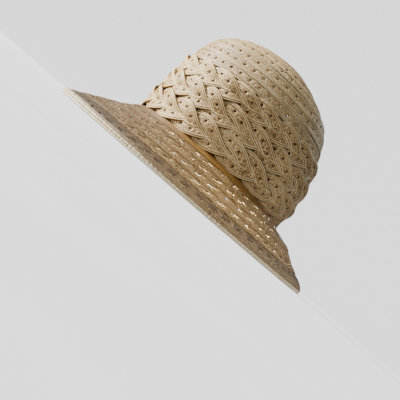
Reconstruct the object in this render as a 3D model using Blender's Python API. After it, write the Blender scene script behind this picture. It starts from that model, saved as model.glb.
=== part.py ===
"""Straw hat: a bell brim, three plaits round the crown and a domed tip, all of sewn openwork braid.

The front of the hat is towards -X, the side that the photograph shows towards -Y, and the brim's
edge stands on the ground at z = 0. A turn of 0 is the front, a quarter turn is the shown side.
"""
import math

import bmesh
import bpy
from mathutils import Vector

# Wall thicknesses and the gap that is kept between neighbouring pieces, in metres.
WALL = 0.0013
FACING_WALL = 0.0011
GAP = 0.0003
FOOT_WIDTH = 0.0020

# Edges sharper than this are shaded as creases.
CREASE_ANGLE = math.radians(28)

# Directions out of a face are measured over this step of a turn and of a share, and a face looks
# away from a point of the hat's axis that lies this far below it.
SAMPLE_STEP = 0.002
AXIS_POINT_DROP = 0.05

# The brim's outer face: how far out from the middle and how high each share of its width lies.
BRIM_SECTIONS = (
    # share, front_out, front_up, side_out, side_up, back_out, back_up
    (0.00, 0.0975, 0.0478, 0.0865, 0.0500, 0.1077, 0.0398),
    (0.12, 0.1060, 0.0413, 0.0940, 0.0438, 0.1160, 0.0366),
    (0.28, 0.1180, 0.0332, 0.1050, 0.0360, 0.1275, 0.0338),
    (0.38, 0.1265, 0.0288, 0.1125, 0.0312, 0.1357, 0.0314),
    (0.55, 0.1410, 0.0213, 0.1260, 0.0230, 0.1475, 0.0226),
    (0.75, 0.1575, 0.0128, 0.1410, 0.0138, 0.1609, 0.0150),
    (0.90, 0.1695, 0.0068, 0.1520, 0.0074, 0.1713, 0.0096),
    (1.00, 0.1770, 0.0030, 0.1585, 0.0031, 0.1770, 0.0032),
)

# The crown's outer face, from its foot to its top: rise is the share of the height above the foot.
CROWN_SECTIONS = (
    # share, rise, front_out, side_out, back_out
    (0.00, 0.000, 0.1008, 0.0885, 0.1107),
    (0.13, 0.180, 0.0998, 0.0895, 0.1135),
    (0.26, 0.360, 0.0975, 0.0890, 0.1103),
    (0.39, 0.535, 0.0950, 0.0863, 0.1030),
    (0.50, 0.680, 0.0898, 0.0800, 0.0931),
    (0.59, 0.785, 0.0820, 0.0718, 0.0819),
    (0.68, 0.870, 0.0692, 0.0600, 0.0625),
    (0.78, 0.938, 0.0523, 0.0445, 0.0405),
    (0.89, 0.984, 0.0305, 0.0240, 0.0203),
    (1.00, 1.000, 0.0000, 0.0000, 0.0000),
)
CROWN_TOP = 0.1900

# Where the brim's pieces start and end, as shares of its width.
STRIP_END = 0.115
STRIP_GAP_SHARE = 0.004
FACING_START = 0.745
FACING_MIDDLE = 0.865

# The brim's courses lap over each other at its seams, and two courses have a row of slots.
BRIM_SEAMS = (STRIP_END, 0.275, 0.435, 0.593, FACING_START, 1.0)
SLOT_ROWS = (0.516, 0.670)
SLOTS_PER_ROW = 44
SLOT_WIDTH_SHARE = 0.020
SLOT_LENGTH_TURNS = 0.27
LAP_LIFT = 0.0007
LAP_SHARE = 0.004
BRIM_INNER_SHARES = (0.275, 0.435, FACING_START, FACING_MIDDLE)

# The plaits: each is a band of the crown with lobes that point to the back on the shown side.
PLAIT_NAMES = ("plait_lower", "plait_middle", "plait_upper")
PLAIT_SHARE = 0.13
PLAIT_GAP_SHARE = 0.0016
PLAIT_TURN_OFFSETS = (0.38, 0.89, 0.61)
LOBES = 20
QUARTERS = 4 * LOBES
PHASE_PER_QUARTER = 30
STRAND_HALF_WIDTH = 0.75
STRAND_RISE = 0.0008
STRAND_TILT = 0.0011
STRAND_BULGE = 0.0010
PLAIT_CREST = 0.0017
PLAIT_FLOOR = -0.0018
PLAIT_VALLEY = 0.0002
PLAIT_BACKING = 0.0013
STEP_ACROSS = 0.10
STEP_DROP = 0.0003
RIDGE_SHARE = 0.55
RIM_NAMES = {1: ("up_notch", "down_edge_3"), 3: ("up_edge_3", "down_notch")}

# The domed tip: courses that lap over each other, and the columns round it.
TIP_START = 3 * PLAIT_SHARE
TIP_COURSES = 9
TIP_COLUMNS = 40
TIP_INNER_ROWS = 5
TIP_SINK = 0.0020
TIP_SINK_FADE = 0.20

# Straw colours by piece, linear, with roughness.
STRAW = {
    "crown_tip": ((0.52, 0.38, 0.22), 0.60),
    "plait_upper": ((0.50, 0.36, 0.21), 0.58),
    "plait_middle": ((0.53, 0.39, 0.23), 0.58),
    "plait_lower": ((0.56, 0.41, 0.25), 0.58),
    "crown_strip": ((0.50, 0.29, 0.10), 0.50),
    "brim": ((0.44, 0.31, 0.17), 0.62),
    "brim_facing": ((0.60, 0.46, 0.29), 0.60),
}


def clear_scene():
    """Remove every object of the scene."""
    for old in list(bpy.data.objects):
        bpy.data.objects.remove(old, do_unlink=True)


def smooth_row(rows, share):
    """Read a table of sections at any share, along a smooth curve through its rows."""
    last = len(rows) - 1
    low = 0
    while low < last - 1 and rows[low + 1][0] < share:
        low += 1
    start, end = rows[low], rows[low + 1]
    before = rows[max(low - 1, 0)]
    after = rows[min(low + 2, last)]
    span = end[0] - start[0]
    step = (share - start[0]) / span
    values = []
    for column in range(1, len(start)):
        slope_start = (end[column] - before[column]) / (end[0] - before[0]) * span
        slope_end = (after[column] - start[column]) / (after[0] - start[0]) * span
        values.append(
            (2 * step**3 - 3 * step**2 + 1) * start[column]
            + (step**3 - 2 * step**2 + step) * slope_start
            + (3 * step**2 - 2 * step**3) * end[column]
            + (step**3 - step**2) * slope_end
        )
    return values


def around(turn, front, side, back):
    """Place a point on the oval whose reach is given for the front, the side and the back."""
    angle = 2 * math.pi * turn
    lengthwise = front if math.cos(angle) > 0 else back
    return -lengthwise * math.cos(angle), -side * math.sin(angle)


def blend_up(turn, front, side, back):
    """Blend three heights round the hat; the back one reaches less far round."""
    cosine = math.cos(2 * math.pi * turn)
    if cosine > 0:
        return side + (front - side) * cosine**2
    return side + (back - side) * cosine**4


def brim_surface(turn, share):
    """Give a point of the brim's outer face."""
    front_out, front_up, side_out, side_up, back_out, back_up = smooth_row(BRIM_SECTIONS, share)
    x, y = around(turn, front_out, side_out, back_out)
    return Vector((x, y, blend_up(turn, front_up, side_up, back_up)))


def crown_surface(turn, share):
    """Give a point of the crown's outer face."""
    rise, front_out, side_out, back_out = smooth_row(CROWN_SECTIONS, share)
    foot = BRIM_SECTIONS[0]
    foot_up = blend_up(turn, foot[2], foot[4], foot[6])
    x, y = around(turn, front_out, side_out, back_out)
    return Vector((x, y, foot_up + rise * (CROWN_TOP - foot_up)))


def lifted(surface, turn, share, lift):
    """Move a point of a face straight out of it by the lift."""
    middle = surface(turn, share)
    along = surface(turn + SAMPLE_STEP, share) - surface(turn - SAMPLE_STEP, share)
    across = surface(turn, min(share + SAMPLE_STEP, 1.0)) - surface(turn, share - SAMPLE_STEP)
    normal = along.cross(across).normalized()
    if normal.dot(middle - Vector((0.0, 0.0, middle.z - AXIS_POINT_DROP))) < 0:
        normal.negate()
    return middle + normal * lift


def make_material(name, colour, roughness):
    """Make one straw material."""
    material = bpy.data.materials.new(name)
    material.use_nodes = True
    shader = material.node_tree.nodes["Principled BSDF"]
    shader.inputs["Base Color"].default_value = (*colour, 1.0)
    shader.inputs["Roughness"].default_value = roughness
    shader.inputs["Metallic"].default_value = 0.0
    return material


def add_piece(name, shape):
    """Close off a bmesh as one outward-facing object with its own material."""
    bmesh.ops.recalc_face_normals(shape, faces=shape.faces)
    mesh = bpy.data.meshes.new(name)
    shape.to_mesh(mesh)
    shape.free()
    mesh.shade_smooth()
    mesh.set_sharp_from_angle(angle=CREASE_ANGLE)
    colour, roughness = STRAW[name]
    mesh.materials.append(make_material(name + "_straw", colour, roughness))
    piece = bpy.data.objects.new(name, mesh)
    bpy.context.scene.collection.objects.link(piece)
    return piece


def ring_piece(name, turns, section):
    """Sweep a closed section, a list of points for each turn, once round the hat."""
    shape = bmesh.new()
    rings = [[shape.verts.new(point) for point in section(turn)] for turn in turns]
    count = len(rings[0])
    for index, ring in enumerate(rings):
        following = rings[(index + 1) % len(rings)]
        for spot in range(count):
            beside = (spot + 1) % count
            shape.faces.new((ring[spot], ring[beside], following[beside], following[spot]))
    return add_piece(name, shape)


def slot_turns():
    """List the columns round the brim: a start and an end for each slot of a row."""
    pitch = 1.0 / SLOTS_PER_ROW
    half = 0.5 * SLOT_LENGTH_TURNS * pitch
    turns = []
    for slot in range(SLOTS_PER_ROW):
        middle = (slot + 0.5) * pitch
        turns.extend((middle - half, middle + half))
    return turns


def course_lift(share):
    """Give the lift of the brim's outer face inside a course, which rises to its outer edge."""
    for start, end in zip(BRIM_SEAMS, BRIM_SEAMS[1:]):
        if start <= share <= end:
            return LAP_LIFT * (share - start) / (end - start)
    return 0.0


def brim_rows():
    """List the brim's rows as share and lift, and the shares where its slots start and end."""
    half = 0.5 * SLOT_WIDTH_SHARE
    slot_edges = [row + side * half for row in SLOT_ROWS for side in (-1, 1)]
    outer = [(share, course_lift(share)) for share in (*slot_edges, FACING_MIDDLE)]
    for start, end in zip(BRIM_SEAMS, BRIM_SEAMS[1:]):
        outer.append((start + LAP_SHARE, 0.0))
        outer.append((end, LAP_LIFT))
    inner = [(share, -WALL) for share in (STRIP_END, *BRIM_INNER_SHARES, *slot_edges, 1.0)]
    return sorted(outer), sorted(inner, reverse=True), sorted(slot_edges)


def make_brim():
    """Build the brim as a thin bell with two rows of slots cut through it."""
    outer, inner, slot_edges = brim_rows()
    rows = outer + inner
    turns = slot_turns()
    shape = bmesh.new()
    rings = []
    for turn in turns:
        rings.append([shape.verts.new(lifted(brim_surface, turn, share, lift)) for share, lift in rows])
    slot_starts = slot_edges[0::2]
    last_outer = len(outer) - 1
    for column, ring in enumerate(rings):
        following = rings[(column + 1) % len(rings)]
        for spot in range(len(rows)):
            beside = (spot + 1) % len(rows)
            edge = min(rows[spot][0], rows[beside][0])
            is_face = spot != last_outer and beside != 0
            if column % 2 == 0 and is_face and edge in slot_starts:
                continue
            shape.faces.new((ring[spot], ring[beside], following[beside], following[spot]))
        if column % 2 == 0:
            for start, end in zip(slot_edges[0::2], slot_edges[1::2]):
                wall_slot(shape, ring, following, slot_corners(rows, last_outer, start, end))
    return add_piece("brim", shape)


def slot_corners(rows, last_outer, start, end):
    """Find the rows that bound a slot, on the outer and the inner face."""
    outer_shares = [share for share, lift in rows[: last_outer + 1]]
    inner_shares = [share for share, lift in rows[last_outer + 1 :]]
    outer_pair = (outer_shares.index(start), outer_shares.index(end))
    offset = last_outer + 1
    inner_pair = (offset + inner_shares.index(start), offset + inner_shares.index(end))
    return outer_pair, inner_pair


def wall_slot(shape, ring, following, corners):
    """Line a slot with its four walls."""
    (outer_start, outer_end), (inner_start, inner_end) = corners
    top = (ring[outer_start], following[outer_start], following[outer_end], ring[outer_end])
    under = (ring[inner_start], following[inner_start], following[inner_end], ring[inner_end])
    for spot in range(4):
        beside = (spot + 1) % 4
        shape.faces.new((top[spot], top[beside], under[beside], under[spot]))


def strip_section(turn):
    """Give the section of the smooth strip between the crown and the brim."""
    end = STRIP_END - STRIP_GAP_SHARE
    corners = ((0.0, 0.0), (end, 0.0), (end, -WALL), (0.0, -WALL))
    return [lifted(brim_surface, turn, share, lift) for share, lift in corners]


def facing_section(turn):
    """Give the section of the under layer of the rim, with a flat foot on the ground."""
    top = -WALL - GAP
    under = top - FACING_WALL
    rim_top = lifted(brim_surface, turn, 1.0, top)
    foot_outer = Vector((rim_top.x, rim_top.y, 0.0))
    reach = math.hypot(rim_top.x, rim_top.y)
    foot_inner = foot_outer * ((reach - FOOT_WIDTH) / reach)
    upper = [lifted(brim_surface, turn, share, top) for share in (FACING_START, FACING_MIDDLE)]
    lower = [lifted(brim_surface, turn, share, under) for share in (FACING_MIDDLE, FACING_START)]
    return upper + [rim_top, foot_outer, foot_inner] + lower


def strand_height(quarter, across):
    """Give a strand's height at a quarter and an across of -1 to 1 over its width."""
    angle = math.radians(PHASE_PER_QUARTER * quarter)
    rise = -STRAND_RISE * math.sin(2 * angle)
    tilt = -STRAND_TILT * math.cos(angle) * across
    return rise + tilt + STRAND_BULGE * (1 - across**2)


def strand_centre(quarter):
    """Give the place across the band of a strand's middle."""
    return math.sin(math.radians(PHASE_PER_QUARTER * quarter))


def strand_edge(quarter, side):
    """Give the place across the band of one edge of a strand."""
    return strand_centre(quarter) + side * STRAND_HALF_WIDTH


def lobe_lower_edge(quarter):
    """Give the lower bound of a lobe: its own edge, or that of the strand which covers it."""
    return max(strand_edge(quarter, -1), strand_edge(quarter + 4, 1))


def lobe_across(quarter, place):
    """Turn a place across the band into one across the strand, from -1 to 1."""
    return (place - strand_centre(quarter)) / STRAND_HALF_WIDTH


def lobe_ridge(quarter):
    """Give a lobe's ridge as place across the band and height."""
    place = RIDGE_SHARE * strand_edge(quarter, 1) + (1 - RIDGE_SHARE) * lobe_lower_edge(quarter)
    return place, strand_height(quarter, lobe_across(quarter, place))


class PlaitMesh:
    """Collects the points of one plait; each is named and stands at a quarter of a lobe."""

    def __init__(self, band):
        self.shape = bmesh.new()
        self.points = {}
        self.offset = PLAIT_TURN_OFFSETS[band] / LOBES
        self.middle = (band + 0.5) * PLAIT_SHARE
        self.half = 0.5 * PLAIT_SHARE - 0.5 * PLAIT_GAP_SHARE

    def point(self, name, quarter, across, height):
        """Make a point, or find the one that has this name and quarter."""
        key = (name, quarter % QUARTERS)
        if key not in self.points:
            turn = self.offset + quarter / QUARTERS
            share = self.middle + self.half * across / (1 + STRAND_HALF_WIDTH)
            place = lifted(crown_surface, turn, share, height - PLAIT_CREST)
            self.points[key] = self.shape.verts.new(place)
        return self.points[key]

    def centre(self, quarter):
        """Make a point of the zigzag line where the upper and the lower lobes meet."""
        return self.point("centre", quarter, lobe_lower_edge(4 + quarter % 4), PLAIT_VALLEY)

    def lobe(self, start, side):
        """Make the points of a lobe that starts at a quarter, on the upper or the lower side."""
        label = "up" if side > 0 else "down"
        edge, ridge, low = {}, {}, {}
        for step in range(2, 7):
            place, height = strand_edge(step, 1), strand_height(step, 1)
            edge[step] = self.point(f"{label}_edge_{step}", start + step, side * place, height)
            place, height = lobe_ridge(step)
            ridge[step] = self.point(f"{label}_ridge_{step}", start + step, side * place, height)
        for step in range(1, 4):
            place = lobe_lower_edge(step) + STEP_ACROSS
            height = strand_height(step, lobe_across(step, place)) - STEP_DROP
            low[step] = self.point(label + "_low", start + step, side * place, height)
        for step in range(4, 7):
            low[step] = self.centre(start + step)
        edge[7] = self.centre(start + 7)
        notch = self.point(label + "_notch", start + 1, side * (1 + STRAND_HALF_WIDTH), PLAIT_FLOOR)
        return edge, ridge, low, notch

    def face(self, *corners):
        """Add one face."""
        self.shape.faces.new(corners)


def add_lobe(plait, start, side):
    """Add a lobe, the step down to the next one and the notch between them."""
    edge, ridge, low, notch = plait.lobe(start, side)
    next_edge, next_ridge, next_low, next_notch = plait.lobe(start + 4, side)
    plait.face(low[1], edge[2], ridge[2])
    plait.face(low[1], ridge[2], low[2])
    for step in range(2, 6):
        plait.face(edge[step], edge[step + 1], ridge[step + 1], ridge[step])
        plait.face(ridge[step], ridge[step + 1], low[step + 1], low[step])
    plait.face(edge[6], edge[7], ridge[6])
    plait.face(ridge[6], edge[7], low[6])
    plait.face(edge[5], next_low[1], next_low[2], edge[6])
    plait.face(edge[6], next_low[2], next_low[3], edge[7])
    plait.face(edge[7], next_low[3], next_low[4])
    rim = (edge[3], edge[4], edge[5], next_low[1], next_edge[2], next_edge[3])
    for first, second in zip(rim, rim[1:]):
        plait.face(first, second, next_notch)


def close_plait(plait):
    """Add the plain inner face of a plait and its upper and lower rims."""
    reach = 1 + STRAND_HALF_WIDTH
    inner = PLAIT_FLOOR - PLAIT_BACKING
    for quarter in range(1, QUARTERS, 2):
        after = (quarter + 2) % QUARTERS
        above, below = (plait.points[(name, quarter)] for name in RIM_NAMES[quarter % 4])
        next_above, next_below = (plait.points[(name, after)] for name in RIM_NAMES[after % 4])
        inner_top = plait.point("inner_top", quarter, reach, inner)
        inner_under = plait.point("inner_under", quarter, -reach, inner)
        next_top = plait.point("inner_top", after, reach, inner)
        next_under = plait.point("inner_under", after, -reach, inner)
        plait.face(inner_top, next_top, next_under, inner_under)
        plait.face(above, next_above, next_top, inner_top)
        plait.face(below, next_below, next_under, inner_under)


def make_plait(name, band):
    """Build one plait as a closed ring with raised lobes."""
    plait = PlaitMesh(band)
    for lobe in range(LOBES):
        add_lobe(plait, 4 * lobe, 1)
        add_lobe(plait, 4 * lobe + 6, -1)
    close_plait(plait)
    return add_piece(name, plait.shape)


def tip_sink(share):
    """Give how far the tip lies behind the upper plait's crests; it fades out up the dome."""
    return TIP_SINK * max(0.0, 1 - (share - TIP_START) / TIP_SINK_FADE)


def make_tip():
    """Build the domed tip of sewn courses as a thin shell that is open below."""
    shape = bmesh.new()
    start = TIP_START + PLAIT_GAP_SHARE
    turns = [column / TIP_COLUMNS for column in range(TIP_COLUMNS)]
    rows = []
    for course in range(TIP_COURSES):
        share = start + (1 - start) * course / TIP_COURSES
        end = start + (1 - start) * (course + 1) / TIP_COURSES - LAP_SHARE
        rows.append((share, LAP_LIFT - tip_sink(share)))
        rows.append((end, -tip_sink(end)))
    for row in range(TIP_INNER_ROWS):
        share = start + (1 - start) * (1 - (row + 1) / TIP_INNER_ROWS)
        rows.append((share, -WALL - tip_sink(share)))
    rings = [[shape.verts.new(lifted(crown_surface, turn, *row)) for row in rows] for turn in turns]
    top = shape.verts.new((0.0, 0.0, CROWN_TOP))
    under = shape.verts.new((0.0, 0.0, CROWN_TOP - WALL))
    last_outer = 2 * TIP_COURSES - 1
    for column, ring in enumerate(rings):
        following = rings[(column + 1) % TIP_COLUMNS]
        for spot in range(len(rows)):
            beside = (spot + 1) % len(rows)
            if spot == last_outer:
                continue
            shape.faces.new((ring[spot], ring[beside], following[beside], following[spot]))
        shape.faces.new((ring[last_outer], top, following[last_outer]))
        shape.faces.new((under, ring[last_outer + 1], following[last_outer + 1]))
    return add_piece("crown_tip", shape)


def main():
    """Build every piece of the hat."""
    clear_scene()
    turns = slot_turns()
    make_brim()
    ring_piece("brim_facing", turns[0::2], facing_section)
    ring_piece("crown_strip", turns[0::2], strip_section)
    for band, name in enumerate(PLAIT_NAMES):
        make_plait(name, band)
    make_tip()


main()
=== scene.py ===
"""Looks of the straw hat: sewn openwork braid, three plaits of it round the crown and a corded rim.

All sizes are in metres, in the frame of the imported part: the front of the hat is towards -X, the side
that the photograph shows towards -Y, and the brim's edge stands on the ground at z = 0. A turn of 0 is
the front, a quarter turn is the shown side. A share runs from 0 to 1 over a face: down the brim from
the crown to the rim, or up the crown from its foot to its top.
"""

import collections
import math

import bpy
import numpy as np
from mathutils import Matrix, Vector


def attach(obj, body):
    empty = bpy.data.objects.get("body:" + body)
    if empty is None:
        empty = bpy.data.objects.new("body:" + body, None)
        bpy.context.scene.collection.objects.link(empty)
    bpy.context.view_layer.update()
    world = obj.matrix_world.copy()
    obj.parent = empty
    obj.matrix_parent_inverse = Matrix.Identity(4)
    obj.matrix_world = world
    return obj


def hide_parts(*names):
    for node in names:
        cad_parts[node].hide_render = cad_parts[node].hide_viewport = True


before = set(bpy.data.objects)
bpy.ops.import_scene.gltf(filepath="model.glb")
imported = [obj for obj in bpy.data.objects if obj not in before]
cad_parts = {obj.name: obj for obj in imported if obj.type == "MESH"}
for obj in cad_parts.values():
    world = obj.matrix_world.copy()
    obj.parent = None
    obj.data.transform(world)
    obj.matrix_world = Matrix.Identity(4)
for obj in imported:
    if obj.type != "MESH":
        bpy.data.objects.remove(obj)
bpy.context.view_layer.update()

MM = 0.001
FLAT = np.array([1.0, 1.0, 0.0])
UP = np.array([0.0, 0.0, 1.0])

# The brim's outer face: how far out from the middle and how high each share of its width lies.
BRIM_SECTIONS = (
    # share, front_out, front_up, side_out, side_up, back_out, back_up
    (0.00, 0.0975, 0.0478, 0.0865, 0.0500, 0.1077, 0.0398),
    (0.12, 0.1060, 0.0413, 0.0940, 0.0438, 0.1160, 0.0366),
    (0.28, 0.1180, 0.0332, 0.1050, 0.0360, 0.1275, 0.0338),
    (0.38, 0.1265, 0.0288, 0.1125, 0.0312, 0.1357, 0.0314),
    (0.55, 0.1410, 0.0213, 0.1260, 0.0230, 0.1475, 0.0226),
    (0.75, 0.1575, 0.0128, 0.1410, 0.0138, 0.1609, 0.0150),
    (0.90, 0.1695, 0.0068, 0.1520, 0.0074, 0.1713, 0.0096),
    (1.00, 0.1770, 0.0030, 0.1585, 0.0031, 0.1770, 0.0032),
)

# The crown's outer face, from its foot to its top: rise is the share of the height above the foot.
CROWN_SECTIONS = (
    # share, rise, front_out, side_out, back_out
    (0.00, 0.000, 0.1008, 0.0885, 0.1107),
    (0.13, 0.180, 0.0998, 0.0895, 0.1135),
    (0.26, 0.360, 0.0975, 0.0890, 0.1103),
    (0.39, 0.535, 0.0950, 0.0863, 0.1030),
    (0.50, 0.680, 0.0898, 0.0800, 0.0931),
    (0.59, 0.785, 0.0820, 0.0718, 0.0819),
    (0.68, 0.870, 0.0692, 0.0600, 0.0625),
    (0.78, 0.938, 0.0523, 0.0445, 0.0405),
    (0.89, 0.984, 0.0305, 0.0240, 0.0203),
    (1.00, 1.000, 0.0000, 0.0000, 0.0000),
)
CROWN_TOP = 0.1900
CROWN_LENGTH = 0.188  # up the crown's side, for one whole share

# How the two faces are measured: the step that gives their slope, and the points once round.
SLOPE_STEP = 0.002
SHORTEST = 1e-12
MEASURING_POINTS = 361
OUTSIDE_UP = 0.05  # how far up the outside of a face is looked for
SHOWN_SIDE = 0.25  # where a course's width is measured

# The crown's braid: two cords along each edge and pinholes along its middle. Places across it are
# shares of its half width.
BRAID_HALF_WIDTH = 7.3 * MM
BRAID_THICKNESS = 1.0 * MM
BRAID_ACROSS = (0.15, 0.30, 0.38, 0.44, 0.50, 0.56, 0.62, 0.69, 0.75, 0.81, 0.88, 1.0)
CORD_CENTRES = (0.56, 0.81)
CORD_HALF_WIDTH = 0.125
CORD_HEIGHT = 0.95 * MM
PINHOLE_PITCH = 12.4 * MM
PINHOLE_LENGTH_SHARE = 0.18  # of the pitch
PINHOLE_CORNER = 0.71  # how far out a pinhole's corners stay, which makes it round
PINHOLE_CELLS = 2  # along a pinhole and across it
CELLS_BETWEEN_PINHOLES = 6
PINHOLE_DIP = 0.45 * MM
PINHOLE_DIP_REACH = 0.40
PUFF = 0.35 * MM
TEXTURE_UNIT = 10 * MM  # one unit of the braid's texture place
BRAID_REACH = BRAID_HALF_WIDTH / TEXTURE_UNIT

# The plaits: three strands of braid in each, in fact one braid that goes round three times.
PLAITS = ("lower", "middle", "upper")
PLAIT_SHARE = 0.13
PLAIT_TURN_OFFSETS = (0.38, 0.89, 0.61)  # in lobes
LOBES = 20
STRANDS = 3
PLAIT_SLACK = 1.06  # how much longer the braid is than its way round, as it swings
SWING_UP = (9.6 * MM, 9.6 * MM, 7.6 * MM)
SWING_DOWN = 7.2 * MM
SWING_UNEVEN = 0.06
LOBE_UNEVEN = 0.10  # in lobes
STRAND_RISE = 1.10 * MM
STRAND_TILT = 1.60 * MM
STRAND_LEAN = 0.50 * MM  # strands lie this much higher on their way down than on their way up
SHINGLE = 0.90 * MM  # each plait laps over the foot of the one above it
STRAND_BULGE = 1.3 * MM
PLAIT_SINK = 2.2 * MM

# The plain inner wall behind each plait. Across the texture its outer face lies past the braid's edge,
# where it takes painted shade, and its inner one along the braid's middle.
BACKING_SINK = 4.6 * MM
BACKING_STEPS = 240
BACKING_COLUMNS = 12
BACKING_SHADE_PLACE = 1.0
BACKING_REACH = 0.05
INSIDE_REACH = 0.30

# The domed tip: courses of the same braid, each lapping over the one below. The overlap and the rows'
# unevenness are in widths of a course.
TIP_START = len(PLAITS) * PLAIT_SHARE
TIP_END = 0.9985
TIP_COURSES = 9
TIP_SIDE_COURSES = 3
TIP_SINK = 2.0 * MM
TIP_SINK_FADE = 0.20
TIP_RELIEF = 0.8  # of the braid's full relief
TIP_LAP = 0.25 * MM
COURSE_TURN = 0.37  # how far round each course starts from the one below it
COURSE_OVERLAP = 0.10
COURSE_WANDER = 0.16
TIP_WAVE = 0.30  # how far the rows rise and fall together
TIP_WAVE_SHAPE = 0.6  # lower numbers keep the wave full for longer
TIP_WAVE_LEAN = 0.8  # how far round the wave moves from foot to top

# The brim's courses: a finer braid with a row of two-part slots, or small holes in the outermost one.
STRIP_END = 0.115
FACING_START = 0.745
BRIM_SEAMS = (STRIP_END, 0.275, 0.435, 0.593, FACING_START, 1.0)
BRIM_THICKNESS = 0.40 * MM
BRIM_COLUMNS = 18
BRIM_PUFF = 0.30 * MM
BRIM_TUCK = 0.012  # how far a course reaches under the one before it, as a share
BRIM_LAP = (-0.25 * MM, 0.70 * MM)  # the lift of its inner edge, and the rise to its outer edge
BRIM_UNEVEN = 0.25 * MM
SLOT_PITCH = 15.3 * MM
SLOT_SHIFT = 0.31  # how far each row of slots lies round from the one before, in pitches
CELLS_PER_SLOT = 10
SLOT_CELLS = 3  # along each of its two parts and across them
HALF_SLOTS = 0.25  # the share of slots that have their second part alone
FULL_SLOTS = 0.7  # the share of slots whose second part is as long as the first
CLUSTER_HOLES = 3
CLUSTER_STEP = 2  # cells from hole to hole along, and across each hole
CLUSTER_SPREAD = 2  # cells that a hole is moved across at most

# The strip above the brim and the facing under it.
STRIP_STEPS = 360
STRIP_COLUMNS = 12
STRIP_TUCK = 0.010  # how far it reaches in under the crown
STRIP_LAP = (-0.35 * MM, 0.85 * MM)
STRIP_PUFF = 0.20 * MM
FACING_STEPS = 420
FACING_COLUMNS = 16
FACING_END = 0.995
FACING_DROP = 2.2 * MM
FACING_LOWEST = (0.9 * MM, 0.2 * MM)  # how low its outer and its inner face may reach
FACING_TEXTURE_WIDTH = 2.0

# The rim: two cords, one above the other. The upper one has loops of straw that swell it.
RIM_CORD_RADIUS = 1.30 * MM
RIM_CORD_PITCH = 2.75 * MM
RIM_INSETS = (0.9 * MM, 1.2 * MM)  # of the lower and the upper cord, in from the brim's edge
RIM_SWELLING = 0.16
RIM_LOOP_PITCH = 5.0 * MM
RIM_THINNEST = 0.72  # of the full thickness, which the cords only have near the front
RIM_TAPER = (0.10, 0.28)  # from full to thin, in turns from the front
RIM_CORD_SIDES = 10
RIM_CORD_STEPS = 1080
RIM_TEXTURE_WIDTH = 0.85

# What is uneven is a sum of waves of random heights, divided by what it can grow to. The seeds of a
# row of pieces count on.
WAVE_HEIGHTS = (0.3, 1.0)
WAVES_PEAK = 1.4
SWING_SEED = 20
LOBE_SEED = 40
TIP_WAVE_SEED = 59
COURSE_SEED = 60
BRIM_SEED = 70
SLOT_SEED = 80
CLUSTER_SEED = 90

# Straw tones in linear red, green and blue: a dark, a middle and a light one of each.
TIP_FIELD = ((0.30, 0.178, 0.072), (0.70, 0.465, 0.215), (0.98, 0.78, 0.44))
TIP_CORDS = ((0.14, 0.070, 0.024), (0.67, 0.445, 0.20), (1.0, 0.84, 0.50))
PLAIT_FIELD = ((0.18, 0.090, 0.031), (0.57, 0.36, 0.147), (0.97, 0.72, 0.37))
PLAIT_CORDS = ((0.14, 0.066, 0.021), (0.66, 0.425, 0.175), (1.0, 0.79, 0.44))
BRIM_TONES = ((0.12, 0.063, 0.020), (0.385, 0.245, 0.098), (0.74, 0.51, 0.23))
EDGE_TONES = ((0.070, 0.040, 0.017), (0.245, 0.165, 0.081), (0.50, 0.365, 0.20))
# The facing's tones are darkened as painted shade, for it lies under the outermost course.
FACING_SHADE_TONES = ((0.08, 0.045, 0.018), (0.24, 0.16, 0.074), (0.45, 0.33, 0.18))
# The strip's golden tones, kept darker in part as painted shade under the lowest plait.
STRIP_TONES_AND_SHADE = ((0.16, 0.068, 0.012), (0.345, 0.174, 0.036), (0.58, 0.325, 0.080))
RIM_TONES = ((0.46, 0.31, 0.15), (0.90, 0.75, 0.47), (1.0, 0.91, 0.67))

# Single colours of the straw: painted shade at the braid's edges, on the backing and in and round holes,
# the brim's seams, and painted light near the rim in front.
BRAID_EDGE_SHADE = (0.17, 0.085, 0.030)
BACKING_SHADE = (0.17, 0.092, 0.038)
PINHOLE_SHADE = (0.10, 0.055, 0.022)
BRIM_SEAM = (0.19, 0.085, 0.030)
EDGE_SEAM = (0.12, 0.057, 0.024)
FACING_SEAM = (0.13, 0.065, 0.030)
CLUSTER_SHADE = (0.040, 0.021, 0.014)
PAINTED_RIM_LIGHT = (0.80, 0.68, 0.45)

# Where each tone lies on the scale of a pattern: the dark, the middle and the light one.
FIELD_RANGE = (0.10, 0.50, 0.90)
CORD_RANGE = (0.15, 0.50, 0.85)
PLAIN_RANGE = (0.08, 0.50, 0.92)
RIM_RANGE = (0.05, 0.42, 0.80)

# Painted light and shade along the hat: from where to where, and what colours are multiplied by before
# that and after it; below 1 is painted shade, above 1 painted light.
CROWN_SHADING_SPAN = (-0.09, 0.03)
TIP_FRONT_SHADE = (0.68, 0.61, 0.475)
PLAIT_FRONT_LIGHT = (1.06, 1.02, 0.89)
BRIM_SHADING = ((-0.12, 0.17), (0.34, 0.31, 0.25), (1.42, 1.36, 1.28))
STRIP_SHADING = ((-0.10, 0.02), (0.38, 0.38, 0.38))

# Random patterns: how close they are along and across the braid, their scale and their detail.
CLUSTER_SHADE_DOTS = ((1.0, 1.5), 8.0, 1.0)
BLOTCHES = ((1.0, 1.0), 22.0, 2.0)
PAPER_GRAIN = ((1.0, 1.0), 60.0, 3.0)

# The kinds of straw: roughness and gloss, speckle, fibres, and how deep the fine relief is.
CROWN_STRAW = ((0.42, 0.38), ((0.6, 1.5), 7.5, 2.0), ((2.0, 26.0), 1.0, 3.0), 0.60 * MM)
BRIM_STRAW = ((0.55, 0.35), ((0.7, 1.5), 5.5, 2.5), ((1.5, 22.0), 1.0, 3.0), 0.45 * MM)
STRIP_STRAW = ((0.45, 0.35), ((0.7, 1.5), 8.0, 2.0), ((1.2, 24.0), 1.0, 3.0), 0.35 * MM)
RIM_STRAW = ((0.45, 0.35), ((1.0, 1.0), 7.0, 2.0), ((3.0, 12.0), 1.0, 3.0), 0.40 * MM)
RELIEF_STRENGTH = 0.7

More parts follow.
